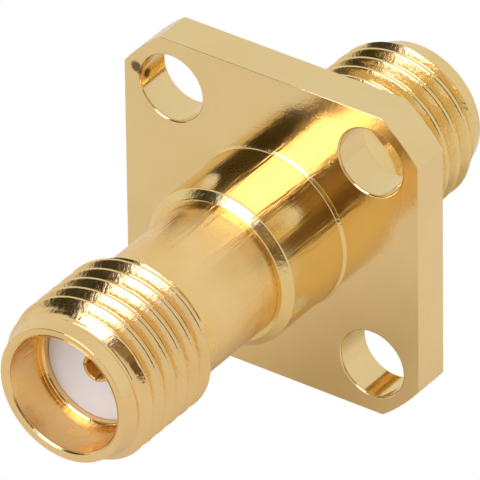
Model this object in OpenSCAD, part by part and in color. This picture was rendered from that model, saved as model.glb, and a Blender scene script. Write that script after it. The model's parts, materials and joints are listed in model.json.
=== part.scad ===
// Double-ended coaxial adapter with a square panel flange.
// Two like threaded jacks stand back to back on one axis: the front one on a long
// plain neck, the rear one on a short neck turned in one piece with the flange.
// Frame: the flange's front face lies at y = 0, the axis runs along Y, the front
// jack points to -Y and Z is up. Turned pieces are drawn along local +Z, which
// axial() lays along -Y, so a station is a distance in front of the flange face.

/* [Flange] */
// Side of the square flange plate
flange_w = 12.7; // [12:0.1:16]
// Thickness of the flange plate
flange_t = 1.575; // [1:0.025:3]
// Metal left between a mounting hole and the arc that turns off its corner
corner_land = 0.49; // [0.2:0.001:0.8]
// Distance between mounting hole centres, both ways
hole_pitch = 8.636; // [8:0.001:8.9]
// Diameter of the four mounting holes
hole_d = 2.7; // [2:0.05:2.8]
// Edge break at both rims of a mounting hole
hole_break = 0.04; // [0.01:0.01:0.1]

/* [Collar] */
// Outside diameter of the collar in front of the flange
collar_d = 6.34; // [6.1:0.01:7.4]
// Length of the collar from the flange face to its front end
collar_len = 3.465; // [2:0.005:5]
// Bevel at the collar's front edge
collar_bevel = 0.3; // [0.05:0.01:0.35]
// Small blend where the collar meets the flange face
collar_root = 0.1; // [0.02:0.01:0.2]

/* [Neck] */
// Diameter of both plain necks, and of the front one's spigot inside the collar
neck_d = 5.31; // [5:0.01:5.6]
// Length of plain neck that shows between the collar and the front thread
neck_len = 4.285; // [2:0.005:8]
// Length of plain neck between the flange and the rear thread
rear_neck_len = 2.7; // [0.5:0.05:6]
// Depth of the spigot inside the collar and flange
spigot_len = 3.0; // [1.5:0.05:3.4]

/* [Jacks] */
// Major diameter of the two external threads
thread_d = 6.32; // [6:0.01:6.8]
// Outside diameter of the lip at each mouth
lip_d = 5.34; // [5.1:0.01:5.5]
// Diameter at the back of the slim pilot cone behind each lip
pilot_d = 5.73; // [5.6:0.01:5.9]
// Length of the pilot cone
pilot_len = 0.68; // [0.3:0.01:1]
// Length of the lead chamfer from the pilot cone up to the full thread
lead_len = 0.32; // [0.1:0.01:0.6]
// Length of each jack, from its mouth to the start of its neck
nose_len = 5.13; // [4:0.01:8]
// Diameter of the socket inside each mouth
socket_d = 4.6; // [4.5:0.01:4.75]
// Depth of the socket from the mouth to the mating shoulder
socket_depth = 1.75; // [1:0.01:2.5]
// Edge break inside each mouth
mouth_break = 0.08; // [0.02:0.01:0.12]

/* [Insulators] */
// Outside diameter of the insulators, and of the bore that holds them
core_d = 4.3; // [4.25:0.01:4.4]
// Diameter of the window in the mating shoulder that shows the insulator
window_d = 4.1; // [4:0.01:4.15]
// Thickness of the shoulder that retains each insulator
window_len = 0.6; // [0.5:0.01:0.8]
// Bevel at the window's outer edge
window_break = 0.07; // [0.02:0.01:0.1]
// How far the insulator's face lies behind the mating shoulder
face_recess = 0.28; // [0:0.01:0.4]
// Room round the contact's spring tines and in front of their step
tine_room = 0.03; // [0.02:0.01:0.06]

/* [Centre contact] */
// Outside diameter of the centre contact
contact_d = 1.27; // [1.2:0.01:1.4]
// Diameter of the contact's tip, which shows in the insulator's face
tip_d = 1.06; // [1.04:0.01:1.12]
// Length of the contact's tip
tip_len = 0.2; // [0.15:0.01:0.3]
// Diameter of the socket hole in each end of the contact
pin_hole_d = 0.88; // [0.8:0.01:0.9]
// Depth of the socket hole in each end of the contact
pin_hole_depth = 3.2; // [2.6:0.1:5]
// Length of the slots that part the spring tines
slot_len = 2.4; // [1:0.1:2.5]
// Width of the slots that part the spring tines
slot_w = 0.1; // [0.08:0.01:0.16]
// Bevel at both edges of the contact's mouth
tine_bevel = 0.03; // [0.01:0.01:0.03]
// How far the contact's mouth lies behind the insulator's face
contact_recess = 0; // [0:0.01:0.1]
// Diameter of the shoulder that traps the contact between the insulators
shoulder_d = 2.0; // [1.6:0.01:3]
// Length of the shoulder that traps the contact
shoulder_len = 0.8; // [0.3:0.05:2]

/* [Fits] */
// Radial clearance of the spigot in the collar
spigot_fit = 0.005; // [0:0.005:0.02]
// Radial clearance of the insulators in their bores
core_fit = 0.01; // [0:0.005:0.03]
// Radial clearance of the contact in the insulators
contact_fit = 0.01; // [0:0.005:0.03]

/* [Hidden] */
$fn = 128;

cut = 1; // how far a cutting solid runs past the face that it cuts

// Stations along the axis, measured in front of the flange's front face
front_mouth = collar_len + neck_len + nose_len;
front_plane = front_mouth - socket_depth;
seam = collar_len - spigot_len;
rear_mouth = -(flange_t + rear_neck_len + nose_len);
rear_plane = rear_mouth + socket_depth;
front_tip = front_plane - face_recess - contact_recess;
rear_tip = rear_plane + face_recess + contact_recess;

// Radii
thread_r = thread_d / 2;
lip_r = lip_d / 2;
pilot_r = pilot_d / 2;
neck_r = neck_d / 2;
collar_r = collar_d / 2;
socket_r = socket_d / 2;
core_r = core_d / 2;
window_r = window_d / 2;
contact_r = contact_d / 2;
tip_r = tip_d / 2;
pin_hole_r = pin_hole_d / 2;
shoulder_r = shoulder_d / 2;
hole_r = hole_d / 2;
corner_r = hole_pitch / sqrt(2) + hole_r + corner_land;
back_bevel = thread_r - neck_r;

// Lays a piece drawn along local +Z along the connector's axis, front to -Y
module axial() {
    rotate([90, 0, 0]) children();
}

// The hollow that a jack's mouth looks into, drawn with its mouth at z = 0 and
// running down: edge break, socket, mating shoulder, window and insulator bore
module jack_bore(depth) {
    rotate_extrude() polygon([
        [0, cut], [socket_r + mouth_break + cut, cut],
        [socket_r + mouth_break, 0], [socket_r, -mouth_break],
        [socket_r, -socket_depth], [window_r + window_break, -socket_depth],
        [window_r, -socket_depth - window_break],
        [window_r, -socket_depth - window_len],
        [core_r, -socket_depth - window_len],
        [core_r, -depth], [0, -depth]
    ]);
}

// Half-profile of a jack's outside, from its lip at station mouth down through
// the pilot cone and the lead chamfer to full thread diameter, and behind the
// thread down to its neck
function jack_profile(mouth) = [
    [0, mouth], [lip_r, mouth], [pilot_r, mouth - pilot_len],
    [thread_r, mouth - pilot_len - lead_len],
    [thread_r, mouth - nose_len + back_bevel], [neck_r, mouth - nose_len]
];

// One mounting hole through the flange with both rims broken
module mounting_hole() {
    translate([0, 0, -flange_t - cut]) cylinder(h = flange_t + 2 * cut, r = hole_r);
    for (side = [0, 1])
        translate([0, 0, side == 0 ? 0 : -flange_t]) mirror([0, 0, side])
            translate([0, 0, -hole_break])
                cylinder(h = hole_break + cut, r1 = hole_r, r2 = hole_r + hole_break + cut);
}

// Square plate whose corners are turned off to one diameter about the axis
module flange_plate() {
    translate([0, 0, -flange_t]) intersection() {
        translate([-flange_w / 2, -flange_w / 2, 0]) cube([flange_w, flange_w, flange_t]);
        cylinder(h = flange_t, r = corner_r);
    }
}

// Collar in front of the flange, with its bevel and its root blend
module collar() {
    rotate_extrude() polygon([
        [0, -flange_t / 2], [collar_r + collar_root, -flange_t / 2],
        [collar_r + collar_root, 0], [collar_r, collar_root],
        [collar_r, collar_len - collar_bevel], [collar_r - collar_bevel, collar_len],
        [0, collar_len]
    ]);
}

// Flange, collar and rear jack, turned and milled from one bar
module flange_body() {
    color("gold") axial() difference() {
        union() {
            flange_plate();
            collar();
            mirror([0, 0, 1]) rotate_extrude() polygon(concat(
                jack_profile(-rear_mouth), [[neck_r, flange_t / 2], [0, flange_t / 2]]));
        }
        translate([0, 0, rear_mouth]) mirror([0, 0, 1]) jack_bore(seam - rear_mouth + cut / 2);
        translate([0, 0, seam]) cylinder(h = spigot_len + cut, r = neck_r + spigot_fit);
        for (sx = [-1, 1], sy = [-1, 1])
            translate([sx * hole_pitch / 2, sy * hole_pitch / 2, 0]) mounting_hole();
    }
}

// Front jack with its neck, whose end is the spigot pressed into the collar
module front_barrel() {
    color("goldenrod") axial() difference() {
        rotate_extrude() polygon(
            concat(jack_profile(front_mouth), [[neck_r, seam], [0, seam]]));
        translate([0, 0, front_mouth]) jack_bore(front_mouth - seam + cut);
    }
}

// An insulator drawn along +Z from the seam at z = 0 towards its mating shoulder
// at z = length. Its stepped bore holds the contact: a thin web round the tip,
// room for the tines, a close fit behind them and a pocket for the shoulder
module insulator(length, pocket) {
    face = length - face_recess;
    tip = face - contact_recess;
    difference() {
        union() {
            cylinder(h = length - window_len, r = core_r - core_fit);
            cylinder(h = face, r = window_r - core_fit);
        }
        translate([0, 0, -cut]) cylinder(h = face + 2 * cut, r = tip_r + contact_fit);
        translate([0, 0, -cut])
            cylinder(h = cut + tip - slot_len, r = contact_r + contact_fit);
        translate([0, 0, tip - slot_len - tine_room])
            cylinder(h = slot_len - tip_len + 2 * tine_room, r = contact_r + tine_room);
        if (pocket > 0)
            translate([0, 0, -cut]) cylinder(h = pocket + cut, r = shoulder_r + contact_fit);
    }
}

// Insulator of the front jack, which also pockets the contact's shoulder
module front_insulator() {
    color("white") axial() translate([0, 0, seam]) insulator(front_plane - seam, shoulder_len);
}

// Insulator of the rear jack
module rear_insulator() {
    color("whitesmoke") axial() translate([0, 0, seam]) mirror([0, 0, 1])
        insulator(seam - rear_plane, 0);
}

// What is cut from one end of the contact, with its mouth at z = 0: the socket
// hole, its lead-in and two crossed slots that part four tines
module tine_cuts() {
    translate([0, 0, -pin_hole_depth]) cylinder(h = pin_hole_depth + cut, r = pin_hole_r);
    translate([0, 0, -tine_bevel])
        cylinder(h = tine_bevel + cut, r1 = pin_hole_r, r2 = pin_hole_r + tine_bevel + cut);
    for (turn = [0, 90]) rotate([0, 0, turn])
        translate([-contact_r - cut, -slot_w / 2, -slot_len])
            cube([contact_d + 2 * cut, slot_w, slot_len + cut]);
}

// Double-ended socket contact, turned in one piece with a trapped shoulder
module centre_contact() {
    color("orange") axial() difference() {
        rotate_extrude() polygon([
            [0, rear_tip], [tip_r - tine_bevel, rear_tip],
            [tip_r, rear_tip + tine_bevel], [tip_r, rear_tip + tip_len],
            [contact_r, rear_tip + tip_len], [contact_r, seam],
            [shoulder_r, seam], [shoulder_r, seam + shoulder_len],
            [contact_r, seam + shoulder_len], [contact_r, front_tip - tip_len],
            [tip_r, front_tip - tip_len], [tip_r, front_tip - tine_bevel],
            [tip_r - tine_bevel, front_tip], [0, front_tip]
        ]);
        translate([0, 0, front_tip]) tine_cuts();
        translate([0, 0, rear_tip]) mirror([0, 0, 1]) tine_cuts();
    }
}

flange_body();
front_barrel();
front_insulator();
rear_insulator();
centre_contact();
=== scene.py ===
"""Double-ended coaxial adapter with a square panel flange, gold plated, seen from the
front and above in a plain white studio."""
import bpy, bmesh, json, math
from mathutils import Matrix, Quaternion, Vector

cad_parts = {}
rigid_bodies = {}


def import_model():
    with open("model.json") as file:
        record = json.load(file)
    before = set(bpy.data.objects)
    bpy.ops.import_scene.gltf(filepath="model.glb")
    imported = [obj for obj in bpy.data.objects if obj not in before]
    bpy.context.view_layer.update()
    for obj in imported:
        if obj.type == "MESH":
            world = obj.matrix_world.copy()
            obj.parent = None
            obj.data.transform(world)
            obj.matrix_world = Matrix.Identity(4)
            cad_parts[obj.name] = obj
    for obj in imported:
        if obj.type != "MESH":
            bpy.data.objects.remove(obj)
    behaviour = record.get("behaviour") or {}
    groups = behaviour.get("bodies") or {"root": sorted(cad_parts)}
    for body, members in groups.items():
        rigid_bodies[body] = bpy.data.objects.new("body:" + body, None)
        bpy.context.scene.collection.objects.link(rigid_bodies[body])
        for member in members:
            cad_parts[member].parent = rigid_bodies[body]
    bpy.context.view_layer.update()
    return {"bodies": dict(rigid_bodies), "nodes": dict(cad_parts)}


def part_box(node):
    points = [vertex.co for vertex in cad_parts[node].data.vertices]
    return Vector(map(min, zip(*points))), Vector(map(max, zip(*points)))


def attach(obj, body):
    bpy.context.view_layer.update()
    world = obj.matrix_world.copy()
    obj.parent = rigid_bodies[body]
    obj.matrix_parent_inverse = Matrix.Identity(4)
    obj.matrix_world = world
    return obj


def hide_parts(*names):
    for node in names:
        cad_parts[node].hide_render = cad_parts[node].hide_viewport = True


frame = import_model()
MM = 0.001

# ---------------------------------------------------------------------------------
# Flange plate. A square plate milled from the same brass bar as the rear jack, with
# its corners turned off to one diameter and four screw holes whose rims are broken.
# All of the metal is gold plated after machining, so it is mirror bright.
body_low, body_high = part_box("flange_body")
FLANGE_W, FLANGE_T = round((body_high[0] - body_low[0]) / MM, 3), 1.575
HOLE_PITCH, HOLE_R, CORNER_R = 8.636, 1.35, 7.946
PLATE_BORE_R = 2.55
PLATE_EDGE, HOLE_EDGE, BLEND_GUARD = 0.02, 0.075, 0.012
HOLE_STEPS, CORNER_STEPS = 96, 16
WELD = 2e-7

def nodes_of(material):
    """The material's node tree, emptied."""
    material.use_nodes = True
    tree = material.node_tree
    tree.nodes.clear()
    return tree

def add(tree, kind, **settings):
    """A new shader node. Each of its inputs is given a value or linked to a socket."""
    made = tree.nodes.new("ShaderNode" + kind)
    inputs = settings.pop("inputs", {})
    for key, value in settings.items():
        setattr(made, key, value)
    for key, value in inputs.items():
        if isinstance(value, bpy.types.NodeSocket):
            tree.links.new(value, made.inputs[key])
        else:
            made.inputs[key].default_value = value
    return made

# Grain of the plating, in waves to the metre: streaks are long along the axis, rings run
# round it, and the peel and the cloud are the same in every direction.
STREAKS, RINGS, PEEL, CLOUD = (7500, 560, 7500), (260, 21000, 260), 2600.0, 420.0
RELIEF = 0.01

def gold_plating(name, tint, deep, roughness, streak, grain, mottle):
    """Bright gold plating: faint drawn streaks along the axis, turning rings round it,
    a soft orange-peel ripple and small changes of tint where the plating is thicker."""
    material = bpy.data.materials.new(name)
    tree = nodes_of(material)
    place = add(tree, "TexCoord").outputs["Object"]
    along = add(tree, "Mapping", inputs={"Vector": place, "Scale": STREAKS})
    streaks = add(tree, "TexNoise", inputs={"Vector": along.outputs[0], "Scale": 1.0, "Detail": 3.0})
    around = add(tree, "Mapping", inputs={"Vector": place, "Scale": RINGS})
    rings = add(tree, "TexNoise", inputs={"Vector": around.outputs[0], "Scale": 1.0, "Detail": 2.0})
    peel = add(tree, "TexNoise", inputs={"Vector": place, "Scale": PEEL, "Detail": 4.0, "Roughness": 0.6})
    cloud = add(tree, "TexNoise", inputs={"Vector": place, "Scale": CLOUD, "Detail": 3.0})
    tone = add(tree, "ValToRGB", inputs={"Fac": cloud.outputs["Fac"]})
    tone.color_ramp.elements[0].position, tone.color_ramp.elements[1].position = 0.35, 0.68
    tone.color_ramp.elements[0].color = (*deep, 1)
    tone.color_ramp.elements[1].color = (*tint, 1)
    mixed = add(tree, "Math", operation="MULTIPLY_ADD",
                inputs={0: streaks.outputs["Fac"], 1: streak, 2: 0.0})
    mixed = add(tree, "Math", operation="MULTIPLY_ADD",
                inputs={0: rings.outputs["Fac"], 1: grain, 2: mixed.outputs[0]})
    mixed = add(tree, "Math", operation="MULTIPLY_ADD",
                inputs={0: peel.outputs["Fac"], 1: mottle, 2: mixed.outputs[0]})
    relief = add(tree, "Bump", inputs={
        "Height": mixed.outputs[0], "Distance": RELIEF * MM, "Strength": 1.0})
    rough = add(tree, "MapRange", inputs={"Value": cloud.outputs["Fac"], "From Min": 0.3, "From Max": 0.7,
                                          "To Min": roughness * 0.8, "To Max": roughness * 1.3})
    metal = add(tree, "BsdfPrincipled", inputs={
        "Base Color": tone.outputs["Color"], "Metallic": 1.0,
        "Roughness": rough.outputs[0], "Normal": relief.outputs[0]})
    add(tree, "OutputMaterial", inputs={"Surface": metal.outputs[0]})
    return material

plate_gold = gold_plating("plate_plating", tint=(0.905, 0.69, 0.34), deep=(0.875, 0.66, 0.315),
                          roughness=0.12, streak=0.3, grain=0.1, mottle=0.3)

# Tarnish at the rim of one hole, where the plating has worn through: (centre, radius).
TARNISH = [((-5.83, 0, 4.70), 0.24), ((-5.66, 0, 4.50), 0.14), ((-5.66, 0.43, 4.26), 0.21)]
TARNISH_RAGGED, TARNISH_SOFT, TARNISH_COVER = 0.12, 0.04, 0.86

def tarnish(material, spots):
    """Brown spots with ragged edges laid over the metal, each a ball of the given radius."""
    tree = material.node_tree
    kinds = {step.type: step for step in tree.nodes}
    metal, output = kinds["BSDF_PRINCIPLED"], kinds["OUTPUT_MATERIAL"]
    place = add(tree, "TexCoord").outputs["Object"]
    ragged = add(tree, "TexNoise", inputs={"Vector": place, "Scale": 9000.0, "Detail": 3.0})
    cover = 0.0
    for centre, radius in spots:
        away = add(tree, "VectorMath", operation="DISTANCE",
                   inputs={0: place, 1: [c * MM for c in centre]}).outputs["Value"]
        away = add(tree, "Math", operation="MULTIPLY_ADD",
                   inputs={0: ragged.outputs["Fac"], 1: TARNISH_RAGGED * MM, 2: away}).outputs[0]
        spot = add(tree, "MapRange", interpolation_type="SMOOTHSTEP", inputs={
            "Value": away, "From Min": (radius + TARNISH_RAGGED) * MM,
            "From Max": (radius - TARNISH_SOFT) * MM})
        cover = add(tree, "Math", operation="MAXIMUM", inputs={0: cover, 1: spot.outputs[0]}).outputs[0]
    cover = add(tree, "Math", operation="MULTIPLY", inputs={0: cover, 1: TARNISH_COVER}).outputs[0]
    brown = add(tree, "BsdfDiffuse", inputs={"Color": (0.075, 0.040, 0.018, 1), "Roughness": 0.5})
    stained = add(tree, "MixShader", inputs={0: cover, 1: metal.outputs[0], 2: brown.outputs[0]})
    tree.links.new(stained.outputs[0], output.inputs["Surface"])

tarnish(plate_gold, TARNISH)

def arc(cx, cy, radius, start, end, count):
    """Points along an arc between two angles, both ends included."""
    return [(cx + radius * math.cos(math.radians(start + (end - start) * i / count)),
             cy + radius * math.sin(math.radians(start + (end - start) * i / count)))
            for i in range(count + 1)]

def plate_outline(inset):
    """Square with turned corners, as the flange is seen along the axis, drawn inset."""
    half, radius = FLANGE_W / 2 - inset, CORNER_R - inset
    start = math.degrees(math.acos(half / radius))
    points = []
    for quarter in range(4):
        points += arc(0, 0, radius, 90 * quarter + start, 90 * quarter + 90 - start, CORNER_STEPS)
    return points

def circle(cx, cy, radius, count):
    """Points all the way round."""
    return arc(cx, cy, radius, 0, 360, count)[:-1]

def edge_steps(edge, steps=4):
    """Points of a rounded edge, as (depth under the face, distance from the wall), and a
    guard point just past it that keeps the wall's shading true."""
    turns = [math.radians(90 * i / steps) for i in range(steps + 1)]
    blend = [(edge * (1 - math.cos(t)), edge * (1 - math.sin(t))) for t in turns]
    return blend + [(edge + BLEND_GUARD, 0)]

def plate(name):
    """Two flat faces with their holes, joined by the rim and by the walls of the holes."""
    drawing = bpy.data.curves.new(name, "CURVE")
    drawing.dimensions, drawing.fill_mode = "2D", "BOTH"
    walls = [(plate_outline, PLATE_EDGE),
             (lambda inset: circle(0, 0, PLATE_BORE_R + inset, HOLE_STEPS), PLATE_EDGE)]
    for sx in (-1, 1):
        for sy in (-1, 1):
            walls.append((lambda inset, sx=sx, sy=sy: circle(
                sx * HOLE_PITCH / 2, sy * HOLE_PITCH / 2, HOLE_R + inset, HOLE_STEPS), HOLE_EDGE))
    for wall, edge in walls:
        loop = wall(edge)
        line = drawing.splines.new("POLY")
        line.points.add(len(loop) - 1)
        for point, (x, z) in zip(line.points, loop):
            point.co = (x * MM, z * MM, 0, 1)
        line.use_cyclic_u = True
    source = bpy.data.objects.new(name + "_drawing", drawing)
    bpy.context.scene.collection.objects.link(source)
    filled = source.evaluated_get(bpy.context.evaluated_depsgraph_get())
    flat = bpy.data.meshes.new_from_object(filled)
    bpy.data.objects.remove(source)
    made = bmesh.new()
    for y in (0, FLANGE_T):
        corners = [made.verts.new((v.co.x, y * MM, v.co.y)) for v in flat.vertices]
        for face in flat.polygons:
            made.faces.new([corners[i] for i in face.vertices])
    for wall, edge in walls:
        front = edge_steps(edge)
        back = [(FLANGE_T - depth, inset) for depth, inset in reversed(front)]
        rings = [[made.verts.new((x * MM, depth * MM, z * MM)) for x, z in wall(inset)]
                 for depth, inset in front + back]
        for near, far in zip(rings, rings[1:]):
            for i in range(len(near)):
                j = (i + 1) % len(near)
                made.faces.new((near[i], near[j], far[j], far[i]))
    bmesh.ops.remove_doubles(made, verts=made.verts, dist=WELD)
    bmesh.ops.recalc_face_normals(made, faces=made.faces)
    mesh = bpy.data.meshes.new(name)
    made.to_mesh(mesh)
    made.free()
    return mesh

def place_piece(mesh, name, material, body):
    """An object made of the mesh, riding on a body of the frame."""
    mesh.materials.clear()
    mesh.materials.append(material)
    piece = bpy.data.objects.new(name, mesh)
    bpy.context.scene.collection.objects.link(piece)
    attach(piece, body)
    return piece

def smooth_by_angle(mesh, degrees):
    """Smooth shading, but for edges that turn by more than the angle."""
    mesh.shade_smooth()
    mesh.set_sharp_from_angle(angle=math.radians(degrees))

BODY = list(frame["bodies"])[0]
plate_mesh = plate("flange_plate")
PLATE_ANGLE, SQUARE_TO_AXIS = 32, 0.9999
smooth_by_angle(plate_mesh, PLATE_ANGLE)
for face in plate_mesh.polygons:
    if abs(face.normal.y) > SQUARE_TO_AXIS:
        face.use_smooth = False
flange_plate = place_piece(plate_mesh, "flange_plate", plate_gold, BODY)
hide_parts("flange_body")

# ---------------------------------------------------------------------------------
# Collar and rear jack. One turning with the flange: a plain polished collar in front,
# a threaded jack on a short neck behind, and one bore through both that holds the
# front barrel's spigot, the rear insulator and the rear contact.
COLLAR_R, COLLAR_LEN, COLLAR_BEVEL, COLLAR_ROOT = 3.17, 3.465, 0.30, 0.10
SPIGOT_R, SEAM_Y = 2.66, -0.465
REAR_MOUTH_Y = round(body_high[1] / MM, 3)
SOCKET_R, SOCKET_DEPTH, MOUTH_BREAK, LIP_FLAT = 2.3, 1.75, 0.08, 0.2
WINDOW_R, WINDOW_LEN, WINDOW_BREAK, CORE_R = 2.05, 0.6, 0.07, 2.15
JACK_BLEND, COLLAR_BLEND = 0.03, 0.04
MOST_CUT, MOST_GUARD = 0.45, 0.49
IN_PLATE_FROM, IN_PLATE_TO = 0.3, 0.8
TURNING_ANGLE = 40

polished = gold_plating("polished_plating", tint=(0.92, 0.69, 0.305), deep=(0.89, 0.65, 0.26),
                        roughness=0.155, streak=1.1, grain=0.25, mottle=0.45)

# Both jacks carry the same right-hand 1/4-36 thread, single-point cut on the lathe: a
# vee groove whose crest and root are eased by the plating. The tool enters over the
# lead taper and leaves over the bevel above the plain neck.
PITCH = 25.4 / 36
THREAD_R, LIP_R, NECK_R = 3.16, 2.67, 2.655
PILOT_R, PILOT_LEN, LEAD_LEN, NOSE_LEN = 2.865, 0.68, 1.0, 5.13
THREAD_DEPTH, HALF_ANGLE = 0.36, 34
CREST_HALF = PITCH / 16
FLANK = THREAD_DEPTH * math.tan(math.radians(HALF_ANGLE))
ROOT_HALF = PITCH / 2 - CREST_HALF - FLANK
CREST_EASE, ROOT_EASE = 0.05, 0.04
FIRST_CUT, CUT_FROM = 0.477, 100
THREAD_FROM = 0.10
AROUND, JUST_SHORT = 240, 1e-9

def eased(height, ease):
    """The height where it is above nought, with the corner at nought rounded off."""
    if abs(height) < ease:
        return (height + ease) ** 2 / (4 * ease)
    return max(0.0, height)

def groove_depth(offset):
    """Depth of the groove at a distance along the axis from the middle of its root."""
    straight = (ROOT_HALF + FLANK - offset) / math.tan(math.radians(HALF_ANGLE))
    return THREAD_DEPTH - eased(THREAD_DEPTH - eased(straight, CREST_EASE), ROOT_EASE)

def cut_radius(depth, clockwise, plain_r):
    """Radius of the threaded surface, depth behind the mouth and clockwise from the mark
    where a groove lies at the first cut's depth."""
    turn = clockwise / 360
    near = round((depth - FIRST_CUT) / PITCH - turn)
    return min(plain_r, THREAD_R - groove_depth(abs(depth - FIRST_CUT - (near + turn) * PITCH)))

# Where the rows of points lie across half a groove, from the middle of its root: close
# together round the eased root, two on the flank, and close together round the crest.
ROOT_STEPS, FLANK_SHARES = (-0.032, -0.01, 0.012, 0.034), (0.38, 0.62)
CREST_STEPS = (-0.042, -0.02, 0.0, 0.02, 0.04)
HALF_ROWS = [ROOT_HALF + step for step in ROOT_STEPS]
HALF_ROWS += [ROOT_HALF + FLANK * share for share in FLANK_SHARES]
HALF_ROWS += [ROOT_HALF + FLANK + step for step in CREST_STEPS]
PITCH_ROWS = [-row for row in reversed(HALF_ROWS)] + HALF_ROWS

def jack_blank(depth):
    """Radius of a jack before its thread is cut: a slim pilot cone, a lead chamfer, the
    full thread diameter, and a bevel down to the neck."""
    if depth < PILOT_LEN:
        return LIP_R + (PILOT_R - LIP_R) * depth / PILOT_LEN
    lead = PILOT_R + (THREAD_R - PILOT_R) * min(1.0, (depth - PILOT_LEN) / (LEAD_LEN - PILOT_LEN))
    return min(lead, NECK_R + NOSE_LEN - depth)

def thread_surface(made, mouth, sense):
    """Threaded outside of a jack, from behind its lip to its neck. Its rows of points
    follow the helix, so crests and roots stay crisp. sense is +1 when the jack's inward
    direction is +Y."""
    rows = []
    for turn in range(-2, math.ceil((NOSE_LEN - FIRST_CUT) / PITCH) + 2):
        for row in PITCH_ROWS:
            rows.append(FIRST_CUT + turn * PITCH + row)
    grid = []
    for base in rows:
        line = []
        for i in range(AROUND + 1):
            clockwise = 360 * i / AROUND
            angle = math.radians(CUT_FROM - sense * clockwise)
            depth = min(NOSE_LEN, max(THREAD_FROM, base + PITCH * i / AROUND))
            here = clockwise if i < AROUND else clockwise - JUST_SHORT
            r = cut_radius(depth, here, jack_blank(depth)) * MM
            place = (r * math.cos(angle), (mouth + sense * depth) * MM, r * math.sin(angle))
            line.append(made.verts.new(place))
        grid.append(line)
    for low, high in zip(grid, grid[1:]):
        for i in range(AROUND):
            made.faces.new((low[i], low[i + 1], high[i + 1], high[i]))

def turned_surface(made, profile, sense):
    """Surface turned from an open half-profile of (y, radius) points."""
    rings = []
    for y, radius in profile:
        ring = []
        for i in range(AROUND):
            angle = math.radians(CUT_FROM - sense * 360 * i / AROUND)
            place = (radius * math.cos(angle) * MM, y * MM, radius * math.sin(angle) * MM)
            ring.append(made.verts.new(place))
        rings.append(ring)
    for near, far in zip(rings, rings[1:]):
        for i in range(AROUND):
            j = (i + 1) % AROUND
            made.faces.new((near[i], near[j], far[j], far[i]))

def finish_turning(made, name):
    """The mesh of a turning, with its surfaces welded where they meet."""
    bmesh.ops.remove_doubles(made, verts=made.verts, dist=WELD)
    bmesh.ops.dissolve_degenerate(made, edges=made.edges, dist=WELD)
    bmesh.ops.recalc_face_normals(made, faces=made.faces)
    loose = [v for v in made.verts if not v.link_faces]
    bmesh.ops.delete(made, geom=loose, context="VERTS")
    mesh = bpy.data.meshes.new(name)
    made.to_mesh(mesh)
    made.free()
    return mesh

def rounded(points, radius, steps=4):
    """Small blends put on the corners of a half-profile. Each point is (y, r, blend?).
    A guard point on either side of a blend keeps the long faces' shading true."""
    out = []
    for i, (y, r, blend) in enumerate(points):
        corner = Vector((y, r))
        if not blend:
            out.append((y, r))
            continue
        before = Vector(points[i - 1][:2]) - corner
        after = Vector(points[(i + 1) % len(points)][:2]) - corner
        cut = min(radius, before.length * MOST_CUT, after.length * MOST_CUT)
        guard_before = min(cut + BLEND_GUARD, before.length * MOST_GUARD)
        guard_after = min(cut + BLEND_GUARD, after.length * MOST_GUARD)
        before.normalize()
        after.normalize()
        out.append(tuple(corner + before * guard_before))
        for k in range(steps + 1):
            t = k / steps
            out.append(tuple(corner + before * cut * (1 - t) ** 2 + after * cut * t ** 2))
        out.append(tuple(corner + after * guard_after))
    return out

def jack_bore_points(mouth, sense):
    """Inside of a jack from its lip inwards; sense is +1 when inwards is +Y."""
    def at(depth, radius, blend=False):
        return (mouth + sense * depth, radius, blend)
    return [at(0, SOCKET_R + MOUTH_BREAK, True), at(MOUTH_BREAK, SOCKET_R, True),
            at(SOCKET_DEPTH, SOCKET_R, True), at(SOCKET_DEPTH, WINDOW_R + WINDOW_BREAK, True),
            at(SOCKET_DEPTH + WINDOW_BREAK, WINDOW_R, True),
            at(SOCKET_DEPTH + WINDOW_LEN, WINDOW_R), at(SOCKET_DEPTH + WINDOW_LEN, CORE_R)]

def lip_points(mouth, sense):
    """Lip of a jack, from its inner edge round to where the thread can start."""
    return rounded([(mouth, SOCKET_R + LIP_FLAT, False), (mouth, LIP_R, True),
                    (mouth + sense * THREAD_FROM, jack_blank(THREAD_FROM), False)], JACK_BLEND)

collar_points = rounded([
    (SEAM_Y, SPIGOT_R, False), (-COLLAR_LEN, SPIGOT_R, False),
    (-COLLAR_LEN, COLLAR_R - COLLAR_BEVEL, True),
    (-COLLAR_LEN + COLLAR_BEVEL, COLLAR_R, True), (-COLLAR_ROOT, COLLAR_R, True),
    (0, COLLAR_R + COLLAR_ROOT, False), (IN_PLATE_FROM, COLLAR_R + COLLAR_ROOT, False),
    (IN_PLATE_TO, NECK_R, False), (FLANGE_T, NECK_R, False),
    (REAR_MOUTH_Y - NOSE_LEN, NECK_R, False)], COLLAR_BLEND)
rear_lip = list(reversed(lip_points(REAR_MOUTH_Y, -1)))
rear_bore = rounded(jack_bore_points(REAR_MOUTH_Y, -1), JACK_BLEND)
rear_bore += [(SEAM_Y, CORE_R), (SEAM_Y, SPIGOT_R)]
made = bmesh.new()
turned_surface(made, collar_points, -1)
thread_surface(made, REAR_MOUTH_Y, -1)
turned_surface(made, rear_lip + rear_bore, -1)
sleeve_mesh = finish_turning(made, "flange_sleeve")
smooth_by_angle(sleeve_mesh, TURNING_ANGLE)
flange_sleeve = place_piece(sleeve_mesh, "flange_sleeve", polished, BODY)
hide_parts("flange_body")

# ---------------------------------------------------------------------------------
# Front barrel. A second turning: the front jack on a plain neck, whose end is the
# spigot pressed into the collar. Its bore holds the front insulator from behind.
barrel_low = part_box("front_barrel")[0]
FRONT_MOUTH_Y = round(barrel_low[1] / MM, 3)
NECK_START_Y = FRONT_MOUTH_Y + NOSE_LEN
MOUTH_RIM, WALL_SKIN = 0.2, 0.02

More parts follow.
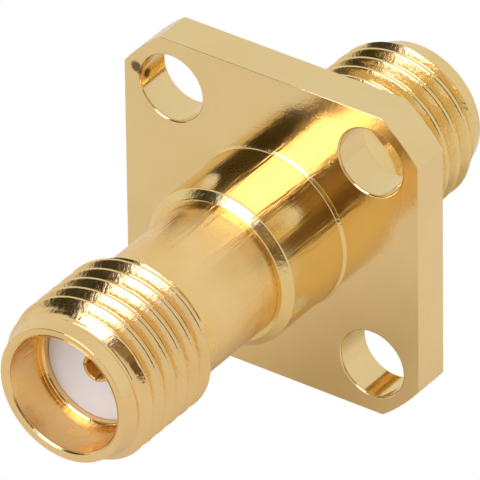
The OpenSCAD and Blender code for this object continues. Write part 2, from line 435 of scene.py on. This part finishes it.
satin = gold_plating("satin_plating", tint=(0.93, 0.67, 0.32), deep=(0.89, 0.625, 0.27),
                     roughness=0.16, streak=1.0, grain=0.25, mottle=0.35)

made = bmesh.new()
thread_surface(made, FRONT_MOUTH_Y, 1)
neck = rounded([(NECK_START_Y, NECK_R, False), (-COLLAR_LEN, NECK_R, False), (SEAM_Y, NECK_R, False),
                (SEAM_Y, CORE_R, False)], JACK_BLEND)
bore = list(reversed(rounded(jack_bore_points(FRONT_MOUTH_Y, 1), JACK_BLEND)))
turned_surface(made, neck + bore + lip_points(FRONT_MOUTH_Y, 1), 1)
barrel_mesh = finish_turning(made, "front_barrel_turning")
smooth_by_angle(barrel_mesh, TURNING_ANGLE)
front_barrel = place_piece(barrel_mesh, "front_barrel_turning", satin, BODY)

# The neck and the socket's wall are left softer than the thread and the nose.
drawn = gold_plating("neck_plating", tint=(0.95, 0.69, 0.31), deep=(0.93, 0.60, 0.205),
                     roughness=0.26, streak=2.2, grain=0.25, mottle=0.3)
barrel_mesh.materials.append(drawn)
for face in barrel_mesh.polygons:
    along, from_axis = face.center.y / MM, math.hypot(face.center.x, face.center.z) / MM
    on_neck = along > NECK_START_Y and from_axis > (CORE_R + NECK_R) / 2
    on_wall = from_axis < SOCKET_R + WALL_SKIN
    in_socket = on_wall and MOUTH_RIM < along - FRONT_MOUTH_Y < SOCKET_DEPTH
    if on_neck or in_socket:
        face.material_index = 1
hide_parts("front_barrel")

# ---------------------------------------------------------------------------------
# Insulators. Two beads turned from white fluoropolymer rod, pushed in from the seam.
# The material is waxy and slightly translucent, and its turned face is matt.
def fluoropolymer():
    """White fluoropolymer, in two close tones, with a fine matt grain."""
    material = bpy.data.materials.new("insulator")
    tree = nodes_of(material)
    place = add(tree, "TexCoord").outputs["Object"]
    cloud = add(tree, "TexNoise", inputs={"Vector": place, "Scale": 700.0, "Detail": 3.0})
    tone = add(tree, "ValToRGB", inputs={"Fac": cloud.outputs["Fac"]})
    tone.color_ramp.elements[0].position, tone.color_ramp.elements[1].position = 0.3, 0.7
    tone.color_ramp.elements[0].color = (0.83, 0.83, 0.79, 1)
    tone.color_ramp.elements[1].color = (0.89, 0.89, 0.85, 1)
    grain = add(tree, "TexNoise", inputs={"Vector": place, "Scale": 9000.0, "Detail": 2.0})
    relief = add(tree, "Bump", inputs={
        "Height": grain.outputs["Fac"], "Distance": 0.000008, "Strength": 0.5})
    rough = add(tree, "MapRange", inputs={"Value": cloud.outputs["Fac"], "To Min": 0.38, "To Max": 0.55})
    wax = add(tree, "BsdfPrincipled", inputs={
        "Base Color": tone.outputs["Color"], "Roughness": rough.outputs[0],
        "Normal": relief.outputs[0], "IOR": 1.35,
        "Subsurface Weight": 0.25, "Subsurface Scale": 0.0005,
        "Subsurface Radius": (1.0, 0.9, 0.8)})
    add(tree, "OutputMaterial", inputs={"Surface": wax.outputs[0]})
    return material

def dress(node, material):
    """A finish given to a piece whose shape comes from the frame."""
    piece = frame["nodes"][node]
    piece.data.materials.clear()
    piece.data.materials.append(material)

white = fluoropolymer()
dress("front_insulator", white)
dress("rear_insulator", white)

# ---------------------------------------------------------------------------------
# Centre contact. Turned from beryllium copper with four spring tines slotted in each
# end, heavily gold plated and deeper in colour than the body.
contact_gold = gold_plating("contact_plating", tint=(1.0, 0.62, 0.13), deep=(0.96, 0.56, 0.10),
                            roughness=0.26, streak=0.4, grain=0.3, mottle=0.4)
CONTACT_METALLIC = 0.35
for step in contact_gold.node_tree.nodes:
    if step.type == "BSDF_PRINCIPLED":
        step.inputs["Metallic"].default_value = CONTACT_METALLIC
dress("centre_contact", contact_gold)

# ---------------------------------------------------------------------------------
# Studio. A pale floor close under the part, a white sweep behind it, and soft light
# panels and dark flags that give the mirror-bright gold its bands. The camera looks from
# the front right, above.
FLOOR_DROP, FLOOR_HALF = 2.15, 600.0
floor_z = round(body_low[2] / MM, 3) - FLOOR_DROP
floor_mesh = bpy.data.meshes.new("studio_floor")
floor_mesh.from_pydata([(sx * FLOOR_HALF * MM, sy * FLOOR_HALF * MM, floor_z * MM)
                        for sx, sy in ((-1, -1), (1, -1), (1, 1), (-1, 1))], [], [(0, 1, 2, 3)])
floor = bpy.data.objects.new("studio_floor", floor_mesh)
bpy.context.scene.collection.objects.link(floor)
sweep = bpy.data.materials.new("studio_floor")
tree = nodes_of(sweep)
card = add(tree, "BsdfDiffuse", inputs={"Color": (0.80, 0.765, 0.67, 1)})
paper = add(tree, "Emission", inputs={"Color": (1, 1, 1, 1), "Strength": 1.0})
seen = add(tree, "LightPath")
shown = add(tree, "MixShader", inputs={
    0: seen.outputs["Is Camera Ray"], 1: card.outputs[0], 2: paper.outputs[0]})
add(tree, "OutputMaterial", inputs={"Surface": shown.outputs[0]})
floor_mesh.materials.append(sweep)

# The light tent, by direction. Behind the part the tent is plain and pale. In front and
# above, a long light panel runs overhead between a black flag on the left and a warm
# brown one on the right.
PAPER, FRONT_PAPER, PANEL = 0.80, 0.75, (3.0, 3.0, 3.8)
BLACK_FLAG, BROWN_FLAG, BROWN_MIDDLE = (0.032, 0.028, 0.010), (0.13, 0.080, 0.040), (0.30, 0.21, 0.10)
# Soft edges of the cards, each as the two places between which one card turns into the
# next along east, north or up, or along a line that leans over to the east.
LEAN = -0.65
PANEL_EDGE, BROWN_EDGE, SIDE_EDGE = (-0.42, -0.36), (-0.25, -0.16), (-0.90, -0.84)
MIDDLE_EDGES = (0.06, 0.12), (0.46, 0.36)
HORIZON, FRONT_EDGE, FLAG_EDGE = (-0.05, 0.03), (-0.26, -0.40), (-0.84, -0.78)
world = bpy.data.worlds.new("studio")
bpy.context.scene.world = world
world.use_nodes = True
tree = world.node_tree
tree.nodes.clear()
where = add(tree, "SeparateXYZ", inputs={0: add(tree, "TexCoord").outputs["Generated"]})
east, north, up = where.outputs["X"], where.outputs["Y"], where.outputs["Z"]

def past(value, low, high):
    """0 where value is below low and 1 above high, with a soft edge between."""
    return add(tree, "MapRange", interpolation_type="SMOOTHSTEP",
               inputs={"Value": value, "From Min": low, "From Max": high}).outputs[0]

def layer(under, over, mask):
    """One card of the tent laid over another where the mask is 1."""
    def card(light):
        if isinstance(light, bpy.types.NodeSocket):
            return light
        return (*light, 1) if isinstance(light, tuple) else (light, light, light, 1)
    return add(tree, "Mix", data_type="RGBA", inputs={0: mask, 6: card(under), 7: card(over)}).outputs[2]

def times(a, b):
    """Two masks as one, which is 1 where both are."""
    return add(tree, "Math", operation="MULTIPLY", inputs={0: a, 1: b}).outputs[0]

tilted = add(tree, "Math", operation="MULTIPLY_ADD", inputs={0: up, 1: LEAN, 2: east}).outputs[0]
middle = times(*(past(tilted, *edge) for edge in MIDDLE_EDGES))
brown = layer(BROWN_FLAG, BROWN_MIDDLE, middle)
brown = layer(FRONT_PAPER, brown, past(north, *FLAG_EDGE))
overhead = layer(BLACK_FLAG, PANEL, past(east, *PANEL_EDGE))
overhead = layer(overhead, brown, past(tilted, *BROWN_EDGE))
overhead = layer(PAPER, overhead, past(east, *SIDE_EDGE))
overhead = layer(PAPER, overhead, past(up, *HORIZON))
light = layer(PAPER, overhead, past(north, *FRONT_EDGE))
seen = add(tree, "LightPath")
studio = add(tree, "Background", inputs={"Color": light, "Strength": 1.0})
plain = add(tree, "Background", inputs={"Color": (1, 1, 1, 1), "Strength": 1.0})
shown = add(tree, "MixShader", inputs={
    0: seen.outputs["Is Camera Ray"], 1: studio.outputs[0], 2: plain.outputs[0]})
add(tree, "OutputWorld", inputs={"Surface": shown.outputs[0]})
bpy.context.scene.view_settings.view_transform = "Standard"

# The camera stands well back with a long lens, so the part is seen almost without
# perspective. Its angles are from the front and from level; AIM is a point on its axis.
AZIMUTH, ELEVATION, ROLL = math.radians(35.266), math.radians(33.895), math.radians(-0.754)
AIM, DISTANCE = Vector((-21.458, 28.388, -24.476)), 500.0
SENSOR, LENS = 36.0, 958.2785
level = math.cos(ELEVATION)
back = Vector((math.sin(AZIMUTH) * level, -math.cos(AZIMUTH) * level, math.sin(ELEVATION)))
lens_data = bpy.data.cameras.new("studio_camera")
lens_data.sensor_width = SENSOR
lens_data.lens = LENS
camera = bpy.data.objects.new("studio_camera", lens_data)
bpy.context.scene.collection.objects.link(camera)
camera.location = (AIM + back * DISTANCE) * MM
camera.rotation_mode = "QUATERNION"
aimed = (-back).to_track_quat("-Z", "Y")
camera.rotation_quaternion = aimed @ Quaternion((0, 0, 1), ROLL)
lens_data.clip_start, lens_data.clip_end = 0.01, 5.0
bpy.context.scene.camera = camera
